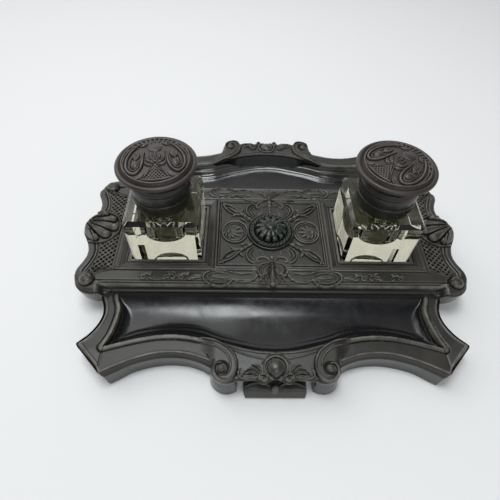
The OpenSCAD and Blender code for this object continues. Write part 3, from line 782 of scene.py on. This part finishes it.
def turned_mesh(rows, angles):
    """Points and faces of a turned form; rows are (radius, z), each one number or one for each angle."""
    n = len(angles)
    points = [np.stack([r * np.cos(angles), r * np.sin(angles), np.broadcast_to(z, n)], 1) for r, z in rows]
    a = np.arange(len(rows) - 1)[:, None] * n
    k = np.arange(n)[None, :]
    m = (k + 1) % n
    return np.concatenate(points), np.stack([a + k, a + n + k, a + n + m, a + m], 2).reshape(-1, 4)


def even(count):
    """So many even angles round a turn."""
    return np.linspace(0, 2 * np.pi, count, endpoint=False)


def boss_piece():
    """The bronze boss: button, gadrooned dome, corded ring and flange."""
    n, seat, dome_r, button_r, cord_r = 240, 23.05, 12.2, 3.9, 14.1
    radii = np.concatenate([[0.25], np.linspace(0.7, dome_r, 42), np.linspace(12.4, 18, 34)])
    angle = even(n)
    lobe = np.abs(np.sin(6 * angle))

    def height(r):
        dome = 24.6 + 5.2 * np.sqrt(np.clip(1 - (r / 12.1) ** 2, 0, 1)) ** 1.1
        out = smooth((r - 3.6) / 2.2) * smooth((dome_r - r) / 0.8)
        dome = dome + out * (0.5 * lobe ** 0.7 - 0.4) - 2.4 * bump(r, 10.2, 1.9) * (1 - smooth(lobe / 0.75))
        dome = dome + (1 - smooth(np.abs(r - 10.9) / 0.9)) * smooth((lobe - 0.6) / 0.3) * 0.5
        if r < button_r:
            return np.maximum(29 + 1.75 * np.sqrt(1 - (r / button_r) ** 2), dome)
        if r < dome_r:
            return np.maximum(dome - 0.5 * bump(r, 4.4, 0.6), 23.7)
        if r < 16.05:
            cord = 0.42 * bump(r, cord_r, 1.9) * np.sin(30 * angle + 1.25 * (r - cord_r))
            return 23.7 + 1.75 * bump(r, cord_r, 1.95) + cord
        return np.full(n, 23.35 + 0.75 * bump(r, 17.05, 0.95) - 0.25 * bump(r, 16.1, 0.3))

    rings = np.array([height(r) for r in radii])
    points, faces = turned_mesh(list(zip(radii, rings)) + [(radii[-1], seat)], angle)
    caps = [list(range(n)), list(range(len(points) - n, len(points)))[::-1]]
    obj = new_object("boss_relief", points, faces.tolist() + caps, 60)
    level = np.stack([np.convolve(column, np.ones(9) / 9, mode="same") for column in rings.T], 1).mean(1)
    level[:4], level[-4:] = rings[:4].mean(1), rings[-4:].mean(1)
    point_values(obj, "cavity", np.vstack([rings - level[:, None], np.zeros(n)]).ravel())
    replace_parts(obj, "cover_boss")
    return finish_piece(obj, "cover", BRONZE)


BALL_Y = -103.5
EYE = (33.6, -104)


def crest_ornament(f):
    """Scrolls, stone, beads and leaves of a crest, for x >= 0."""
    f.stroke([(46, -83.5), (38, -86), (31, -90), (26.5, -94.5), (24.3, -100), (24.6, -106), (27.5, -110.3),
              (32, -111.8), (36, -109.8), (38, -105.5), (37, -101.5), (34, -100.4)],
             1.7, 1.5, (0.7, 1, 1, 1, 0.9, 0.7))
    f.stroke([(48, -86.6), (42, -88.2), (35.6, -91), (30.6, -95), (28.2, -100), (28.4, -105), (31, -108.4),
              (34.4, -107.9)], 1, 0.75, (0.6, 1, 1, 0.8))
    f.dome(*EYE, 2.7, 2.7, 2.9, flat=0.8)
    f.stroke(ring(0, BALL_Y, 7.1), 1.4, 1.7, per=1)
    f.dome(0, BALL_Y, 5.5, 5.5, 4, flat=0.9)
    f.stroke(ring(0, BALL_Y, 9, 20, 160, 24), 0.8, 0.7, per=1)
    f.stroke([(0, -94.3), (10, -93.8), (20, -92.2), (29.5, -89.4), (36, -86.8)], 1, 0.8)
    f.stroke([(8.6, -97.6), (13, -96.6), (20, -94.8), (27, -92)], 0.9, 0.7)
    for root, tip, width, rise, bow in (
            ((9.6, -105.4), (15.2, -101.6), 2.4, 1.7, 0.2), ((10.6, -106.4), (17.6, -104.4), 2.6, 1.9, 0.2),
            ((11.4, -107.6), (19.4, -107.2), 2.8, 2, 0.16), ((11.8, -108.8), (19.6, -110.2), 2.6, 1.8, 0.08),
            ((21, -108.8), (17.6, -104.8), 1.8, 1.3, -0.25), ((23, -108.4), (21.6, -103.6), 1.7, 1, -0.2),
            ((9.4, -107.6), (3.2, -110.2), 2.4, 1.5, -0.25)):
        f.leaf(root, tip, width, rise, bow, 0.3)
    f.spiral(7.6, -109.8, 2.5, 0.8, 60, 420, 1.1, 1.8)
    f.stroke([(13, -109.8), (17, -110.2), (21.4, -109.4), (24, -108)], 1.2, 1.2, (0.7, 1, 0.6))


def crest_piece(sign):
    """The scrolled crest in the middle of the front (sign 1) or of the back (sign -1)."""
    trough_edge, volute_at = -93.6, (31, -103.6)
    f = Relief(0, 50.2, -114.2, -82, 0.3)
    x, y = f.X, f.Y
    outline = [(0, -93.3), (10, -92.7), (20, -91), (30, -88.2), (38, -85.4), (46, -82.8), (49.4, -83.6),
               (49.8, -87.5), (46.6, -91.6), (43, -95), (40.9, -98.6), (40.2, -103), (39.2, -107.4),
               (36.2, -110.9), (31.8, -112.6), (27.4, -112.1), (24.4, -110.8), (20, -110.8), (15, -110.4),
               (11.4, -110.6), (9.4, -112.4), (6.4, -112.4), (4, -111.2), (2, -110.2), (0, -109.9)]
    D = signed(x, y, np.vstack([curve(outline, 3), [(-1, -109.9), (-1, -93.3)]]))
    volute = signed(x, y, curve([
        (46, -83.5), (38, -86), (31, -90), (26.5, -94.5), (24.3, -100), (24.6, -106), (27.5, -110.8),
        (32, -113), (38, -112), (43, -104), (44, -96), (50, -91), (52, -84)], 4))
    blend = smooth(0.5 - volute / 1.2)
    z = (14.1 + 1.1 * smooth((y + 110) / 18)) * (1 - blend) + (13.3 + 3.2 * smooth((49 - x) / 12)) * blend
    hollow = np.vstack([curve(HOLLOW_FRONT), [(112, -30), (-1, -30)]])
    rim_edge = np.vstack([curve(TOP[0]), [(112, -30), (-1, -30), (-1, -99)]])
    z_rim = 0.04 + moulding_height(np.maximum(signed(x, y, hollow), 0),
                                   np.maximum(-signed(x, y, rim_edge), 0))
    on_rim = smooth((x - 38) / 11)
    z = z * (1 - on_rim) + z_rim * on_rim
    z = z - 1.7 * smooth((5.4 - np.hypot(x - EYE[0], y - EYE[1])) / 2.2)
    roll = np.hypot(x - volute_at[0], y - volute_at[1])
    under = np.clip(smooth((x - 30) / 7) * smooth((-97.5 - y) / 5) + smooth((-105 - y) / 3), 0, 1)
    z = z - 2.2 * np.clip((roll - 6.2) / 2.8, 0, 1) ** 2 * under * smooth(0.5 - volute) * (roll < 12)
    z = z - 1.2 * np.clip(1 + D / 1.3, 0, 1) ** 2 * (y < -94)
    crest_ornament(f)
    z = z + f.R

    def walls(x, y):
        """The volutes' waisted drums, the arch between them, and the slope into the trough."""
        u = np.abs(x)
        trough_side = y > trough_edge
        side = np.clip((u - 23) / 2, 0, 1) * ~trough_side
        out_x, out_y = u - volute_at[0], y - volute_at[1]
        size = np.maximum(np.hypot(out_x, out_y), 1e-6)
        near = (size < 13) & ~trough_side
        levels = []
        for share in (0, 0.1, 0.22, 0.36, 0.5, 0.66, 0.83, 1):
            waist = -0.9 * sin(min(share * 2.4, 1) * pi) + 2 * max(share - 0.3, 0)
            flare = np.where(near, waist, -0.4) * side / size
            back = 8.2 * smooth((share - 0.12) / 0.5) * (1 - side) * ~trough_side
            into = 5.6 * (1 - smooth((u - 24) / 18)) * share * trough_side
            z_trough = 15 - 2.4 * smooth((u - 22) / 22) - 7.8 * share ** 0.85
            z_wall = (12.8 - 12 * share) * side + (12.6 - 5 * share) * (1 - side)
            levels.append((np.sign(x) * (u + out_x * flare), y + out_y * flare + back + into,
                           np.where(trough_side, z_trough, z_wall)))
        return levels

    gloss = 0.22 * smooth((5.6 - np.hypot(x, y - BALL_Y)) / 0.8)
    # Walls away from the trough are painted pale with the polished class: a painted reflection of the floor.
    obj = field_mesh("crest_front" if sign > 0 else "crest_back", f, z, D, walls, gloss, cap=False, blur=8,
                     wall_shine=lambda x, y: np.where(y > trough_edge, GLOSSY, POLISHED_PAINTED_REFLECTION))
    return stand_end(obj, sign)


def foot_piece(sign):
    """The low foot under a crest, with its bead and two lobes."""
    bevel_y = -112.4
    f = Relief(0, 20.2, -116.6, -100, 0.35)
    x, y = f.X, f.Y
    D = signed(x, y, [(-1, -100.2), (19.6, -100.2), (19.8, -113.4), (18.8, -116.2), (-1, -116.2)])
    bevel = np.clip((bevel_y - y) / 3.8, 0, 1)
    z = 4.4 + 0.12 * (y - bevel_y) * (1 - bevel) - 3.1 * bevel
    z = z - 0.6 * np.clip(1 + D / 0.8, 0, 1) ** 2 * (1 - bevel)
    z = z + 0.5 * bump(np.hypot((x - 11) / 1.6, y + 110.6), 0, 4.6)
    f.stroke([(19, -110.6), (14, -108.8), (8, -108.4), (3, -110.2)], 1, 0.5)
    f.dome(0, -112, 2.5, 2.5, 2.9, flat=0.8)
    # The bevel and the walls are painted pale with the polished class: a painted reflection of the floor.
    obj = field_mesh("foot_front" if sign > 0 else "foot_back", f, z + f.R, D,
                     lambda x, y: [(x, y, 1.1), (x, y, BASE_Z)], POLISHED_PAINTED_REFLECTION * smooth(bevel / 0.3), cap=False,
                     blur=6, wall_shine=POLISHED_PAINTED_REFLECTION)
    return stand_end(obj, sign)


def cap_ornament(f):
    """The lid's relief: teardrop scrolls, a lattice fan, leaves, and shell ribs along the far edge."""
    for s in (-1, 1):
        f.flip = (s, 1)
        f.stroke([(6.6, 5.4), (7.4, 0.4), (7.9, -4.8), (9.6, -9.8), (12.8, -12.4), (16.2, -10.4),
                  (17.9, -5.2), (17.4, 1), (15.2, 6.6), (11.6, 11.8), (8.8, 14.6)],
                 1.5, 1.35, (0.5, 1, 1, 1, 1, 0.8))
        f.stroke([(9.9, -1), (9.8, -5.6), (11.4, -8.8), (13.6, -9.6), (15.4, -7.4), (15.6, -3.4), (14.6, 0.8),
                  (12.4, 5.2)], 0.9, 0.8, (0.5, 1, 1, 0.5))
        f.dome(12.6, -5.2, 2.5, 3.5, 1.7, turn=-10)
        f.leaf((12.4, -1), (10.4, 6.2), 3.1, 1.3, 0.1, 0.4)
        f.leaf((13.2, 1), (13.6, 5.6), 2.2, 1, 0.1, 0.3)
        f.stroke([(19.6, -6.6), (19.9, -0.6), (18.4, 5.6), (15, 11.2), (11, 15.4)],
                 1.1, 0.9, (0.4, 1, 1, 0.5))
        for root, tip, width in (((12.6, 13), (16.6, 13.6), 2.4), ((10.2, 15.2), (13.2, 17), 2.3),
                                 ((15.6, 9.6), (19, 9.2), 2.2), ((9, 12.2), (4.8, 15.6), 2.4)):
            f.leaf(root, tip, width, 1.1, 0.15)
        f.leaf((1, -5.6), (5.4, 1.4), 2.6, 1.2, -0.14, 0.4)
        f.leaf((1.6, -7), (6.6, -3.6), 2.3, 1, -0.18)
        f.leaf((0.6, -4.4), (2.6, 3.8), 2.3, 1.2, -0.08)
        f.stroke([(1.4, -6.6), (4.2, -11.6), (7.2, -16.6)], 0.9, 1, (0.6, 1, 0.8))
        f.leaf((7.6, -13.6), (11.4, -16.4), 2.2, 0.9, -0.1, 0.3)
    f.stroke([(-8.4, -17.6), (-3, -18.7), (3, -18.7), (8.4, -17.6)], 1.2, 1.1)
    f.dome(0, 9.4, 4.6, 4.4, 1, flat=1.2)
    f.leaf((0, -4.6), (0, 5.2), 2.4, 1.3)
    for k in range(-5, 6):
        a = radians(90 + 8.6 * k)
        ends = [(r * cos(a), r * sin(a)) for r in (15.4 - 0.05 * k * k, 21)]
        f.stroke(ends, 1.5, 0.55, (0.4, 1, 1))
    x, y = f.X, f.Y
    fan = (y < -6.4) & (np.abs(x) < 0.4 + (-y - 6.4) * 0.6) & (y > -17.8)
    bars = 0.55 * (1 - lattice_holes(x * 1.2 + y, x * 1.2 - y, 2.5, 0.36, 0.2))
    f.R = np.where(fan, np.maximum(f.R, bars), f.R)
    f.stroke(ring(0, 0, 20.9), 1.1, 0.8, per=1)


def cap_profile():
    """The cap below its relief as (radius, height over the cap's foot, gloss): rim, roll, cove and foot."""
    rows = [(21.8, 11.2, 0), (22.1, 10.2, 0), (22.5, 9.7, 0)]
    for a in np.radians(np.linspace(120, -80, 16)):
        rows.append((CAP_R - 1.75 + 1.75 * cos(a), 8.9 + 1.75 * sin(a), float(len(rows) > 17)))
    rows += [(23.4, 6.95, 1), (23.5, 6.5, 1), (23.1, 6.1, 1)]
    for a in np.radians(np.linspace(82, 8, 8)):
        rows.append((19.6 + 3.3 * (1 - cos(a)), 5.9 * sin(a), 1))
    return rows + [(19.9, 0.4, 1), (19.3, 0.03, 1), (18, 0.03, 1)]


def lid_cap(side, turn):
    """A moulded lid cap: relief on a low dome, then rim, cove and foot."""
    f = Relief(-21.9, 21.9, -21.9, 21.9, 0.26)
    cap_ornament(f)
    r = np.hypot(f.X, f.Y)
    z = CAP_Z + 14 - 2.4 * (r / 21.4) ** 2 + f.taken(1, 0.35)
    profile = cap_profile()

    def walls(x, y):
        at = np.hypot(x, y)
        return [(x / at * row_r, y / at * row_r, CAP_Z + row_z) for row_r, row_z, _ in profile]

    obj = field_mesh("lid_cap_relief_" + side, f, z, r - 21.5, walls, wall_shine=[row[2] for row in profile],
                     half=False)
    obj.data.transform(Matrix.Rotation(radians(turn), 4, "Z"))
    obj.data.transform(Matrix.Translation((WELL_X * MM * SIDES[side], 0, 0)))
    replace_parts(obj, "lid_cap_" + side)
    return finish_piece(obj, "lid_" + side, CAP)


def ring_mesh(profile, count):
    """A turned ring from a closed profile of (radius, z)."""
    return turned_mesh(profile + profile[:1], even(count))


def knuckle_mesh(a, b, hole):
    """A hinge knuckle with softened ends, from a to b along the pin."""
    r, soft = KNUCKLE_R, 0.25
    profile = [(hole, a), (r - soft, a), (r, a + soft), (r, b - soft), (r - soft, b), (hole, b)]
    p, faces = ring_mesh(profile, 48)
    return np.stack([p[:, 2], p[:, 0] + PIN_Y, p[:, 1] + PARTING_Z], 1), faces


def block_mesh(xs, y0, zs):
    """A plain lug between a ring and the knuckle at the pin."""
    p = [(x, y, PARTING_Z + z) for x in xs for y in (y0, PIN_Y) for z in zs]
    faces = [[0, 1, 3, 2], [4, 6, 7, 5], [0, 4, 5, 1], [2, 3, 7, 6], [0, 2, 6, 4], [1, 5, 7, 3]]
    return np.array(p, float), np.array(faces)


def ring_with_knuckles(name, side, profile, hinge_parts):
    """A turned ring over a block, joined with its knuckles and lugs."""
    points, faces, start = [], [], 0
    for p, quads in [ring_mesh(profile, 144)] + hinge_parts:
        points.append(p)
        faces += (quads + start).tolist()
        start += len(p)
    return new_object(name + side, np.concatenate(points) + [SIDES[side] * WELL_X, 0, 0], faces, 40)


def collar_piece(side):
    """The black collar cemented on the glass neck, with its two hinge knuckles."""
    profile = [(r, SHOULDER_Z + z) for r, z in (
        (15.4, 0), (18.3, 0), (18.9, 0.25), (19.2, 0.9), (19.45, 3.5), (19.7, 6.5), (19.95, 8.8),
        (19.9, 9.3))]
    profile += [(19.7, PARTING_Z - 0.3), (19.3, PARTING_Z), (15.9, PARTING_Z), (15.4, PARTING_Z - 0.5)]
    parts = []
    for a, b in ((3.65, 8.5), (-8.5, -3.65)):
        parts += [knuckle_mesh(a, b, 1.01), block_mesh((a + 0.15, b - 0.2), 17.6, (-2.25, -1.1))]
    obj = ring_with_knuckles("collar_turned_", side, profile, parts)
    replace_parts(obj, "collar_" + side)
    return finish_piece(obj, "well_" + side, BLACK)


def mount_piece(side):
    """The black lower part of a lid, with the middle knuckle."""
    z0 = PARTING_Z + 0.1
    profile = [(r, z0 + z) for r, z in (
        (13, 3), (13, 0.3), (13.4, 0), (19.2, 0), (19.6, 0.35), (19.7, 1), (19.7, 6.6), (19.55, 7),
        (19.55, 7.4), (19.9, 7.8), (20.1, 8.5), (19.9, 9.4), (19.4, 10.2))]
    profile += [(19.2, CAP_Z), (12, CAP_Z), (12, z0 + 6), (0.1, z0 + 6), (0.1, z0 + 3)]
    parts = [knuckle_mesh(-3.5, 3.5, 1.05), block_mesh((-3.3, 3.3), 18, (1.15, 2.25))]
    obj = ring_with_knuckles("lid_mount_turned_", side, profile, parts)
    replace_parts(obj, "lid_mount_" + side)
    return finish_piece(obj, "lid_" + side, BLACK)


def glass_piece(side):
    """A square glass block with cut bevels, a neck and a round ink hollow."""
    half, cut, hollow_r, air = GLASS / 2, 2.6, 14.5, 0.15
    corners = set(np.round([degrees(atan2(y, x)) % 360 for x, y in (
        (half, cut - half), (half, half - cut), (half - cut, half), (cut - half, half),
        (-half, half - cut), (-half, cut - half), (cut - half, -half), (half - cut, -half))], 4))
    between = {a for a in np.arange(0, 360, 2.5) if min(abs(a - c) for c in corners) > 0.8}
    t = np.radians(sorted(corners | between))
    c, s = np.abs(np.cos(t)), np.abs(np.sin(t))

    def octagon(inset):
        """Distance to the cut square in each direction, with its sides moved in."""
        return np.minimum((half - inset) / np.maximum(c, s), (2 * half - cut - inset * 1.25) / (c + s))

    z0, top = LEDGE_Z + air, SHOULDER_Z
    rows = [(0.1, z0), (octagon(0.7), z0), (octagon(0), z0 + 0.7), (octagon(0), top - cut),
            (octagon(cut), top)]
    rows += [(r, top + z) for r, z in (
        (15.6, 0), (15.1, 0.3), (15, 0.9), (15, 5.8), (14.8, 6.3), (14.3, 6.5), (11.7, 6.5), (11.2, 6.3),
        (11, 5.8), (11, -2), (11.1, -3.4), (11.6, -4.6), (12.6, -5.6), (13.6, -6.6), (14.3, -8),
        (hollow_r, -9.6))]
    rows += [(hollow_r, z) for z in (45, 41, 37.5)]
    for a in np.radians((15, 30, 45, 60, 75, 90)):
        rows.append((10 + 4.5 * cos(a), 36.5 - 4.5 * sin(a)))
    points, faces = turned_mesh(rows + [(0.1, 31.6)], t)
    n = len(t)
    caps = [list(range(n))[::-1], list(range(len(points) - n, len(points)))]
    faces = np.roll(faces[:, ::-1], 1, axis=1).tolist() + caps
    obj = new_object("glass_block_" + side, points + [SIDES[side] * WELL_X, 0, 0], faces, 28)
    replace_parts(obj, "glass_" + side)
    return finish_piece(obj, "well_" + side, GLASS_LOOK)


def dress_nodes():
    """Materials on the solids that stay: underside, felt, screws, pins, stud, nut and seals."""
    looks = {"bottom_board": WOOD, "baize_pad": BAIZE, "boss_stud": BRASS, "boss_nut": BRASS}
    looks.update({"board_screw_" + end: BRASS for end in ("br", "fr", "bl", "fl")})
    for side in SIDES:
        looks.update({"socket_pad_" + side: FELT, "hinge_pin_" + side: STEEL, "lid_seal_" + side: SEAL})
    for name, material in looks.items():
        dress(bpy.data.objects[name], material)


def set_camera():
    """The camera of the photograph, worked out from the stand's symmetric points."""
    focal_px, image_px = 396.05, 500
    place = Vector((-21.786, -193.476, 254.447)) * MM
    pitch, yaw, roll = (radians(v) for v in (52.818, -1.948, 2.181))
    level = Vector((cos(yaw), sin(yaw), 0))
    forward = Vector((-sin(yaw) * cos(pitch), cos(yaw) * cos(pitch), -sin(pitch)))
    upward = level.cross(forward)
    right = cos(roll) * level + sin(roll) * upward
    up = cos(roll) * upward - sin(roll) * level
    data = bpy.data.cameras.new("photo_camera")
    data.sensor_width = 36
    data.lens = focal_px / image_px * data.sensor_width
    data.clip_start = 0.01
    camera = bpy.data.objects.new("photo_camera", data)
    turn = Matrix((right, up, -forward)).transposed().to_4x4()
    camera.matrix_world = Matrix.Translation(place) @ turn
    bpy.context.scene.collection.objects.link(camera)
    bpy.context.scene.camera = camera


def area_light(name, place, size, power, colour=(1, 1, 1), turn=0):
    """A soft oblong light aimed at the stand, turned about its own axis, and not seen through glass."""
    data = bpy.data.lights.new(name, "AREA")
    data.shape = "RECTANGLE"
    data.size, data.size_y = size
    data.energy = power
    data.color = colour
    lamp = bpy.data.objects.new(name, data)
    aim = (Vector((0, 0, 0.03)) - Vector(place)).to_track_quat("-Z", "Y").to_matrix().to_4x4()
    lamp.matrix_world = Matrix.Translation(place) @ aim @ Matrix.Rotation(radians(turn), 4, "Z")
    lamp.visible_transmission = False
    bpy.context.scene.collection.objects.link(lamp)


def set_floor():
    """A pale table, which keeps the shadow and stays white where it fades out."""
    half = 12
    mesh = bpy.data.meshes.new("table")
    mesh.from_pydata([(-half, -half, 0), (half, -half, 0), (half, half, 0), (-half, half, 0)], [],
                     [(0, 1, 2, 3)])
    table = bpy.data.objects.new("table", mesh)
    bpy.context.scene.collection.objects.link(table)
    material, n = new_material("table_white")
    n.surface(Base_Color=0.87, Roughness=0.7, Specular_IOR_Level=0.2)
    mesh.materials.append(material)


def set_world():
    """A soft room, white to the eye and through glass, dimmer toward the viewer's side."""
    world = bpy.data.worlds.new("soft_room")
    bpy.context.scene.world = world
    world.use_nodes = True
    n = Nodes(world.node_tree)
    place = n.node("TexCoord").outputs["Generated"]
    direction = n.node("SeparateXYZ", Vector=place)
    depth = n.sums("MULTIPLY_ADD", direction.outputs["Y"], 0.5, 0.5)
    depth = n.sums("MULTIPLY_ADD", direction.outputs["X"], -0.22, depth)
    level = n.ramp(depth, [(0, 0.55), (0.2, 0.36), (0.36, 0.06), (0.5, 0.14), (0.64, 0.32), (0.9, 0.8),
                           (1, 1)])
    path = n.node("LightPath")
    seen = n.sums("MAXIMUM", path.outputs["Is Camera Ray"], path.outputs["Is Transmission Ray"])
    background = n.tree.nodes["Background"]
    n.feed(background.inputs["Color"], 1)
    n.feed(background.inputs["Strength"], n.mixed(seen, level, 1))
    bpy.context.scene.view_settings.view_transform = "Standard"


for end in (1, -1):
    for piece in (tray_piece(end), crest_piece(end), foot_piece(end)):
        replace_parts(piece, "stand_body")
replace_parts(deck_mould(), "stand_body")
cover_piece()
boss_piece()
for side, turn in (("left", 9), ("right", -54)):
    glass_piece(side)
    collar_piece(side)
    mount_piece(side)
    lid_cap(side, turn)
dress_nodes()
set_camera()
set_world()
set_floor()
area_light("ceiling_light", (-0.09, 0.075, 1.05), (0.44, 0.34), 4.7, colour=(0.94, 0.98, 1), turn=14)
area_light("window_light", (-0.55, 0.5, 1), (0.9, 0.9), 3.2)
area_light("front_light", (0.13, -0.75, 1.1), (0.3, 0.24), 2.2, colour=(0.9, 0.96, 1))
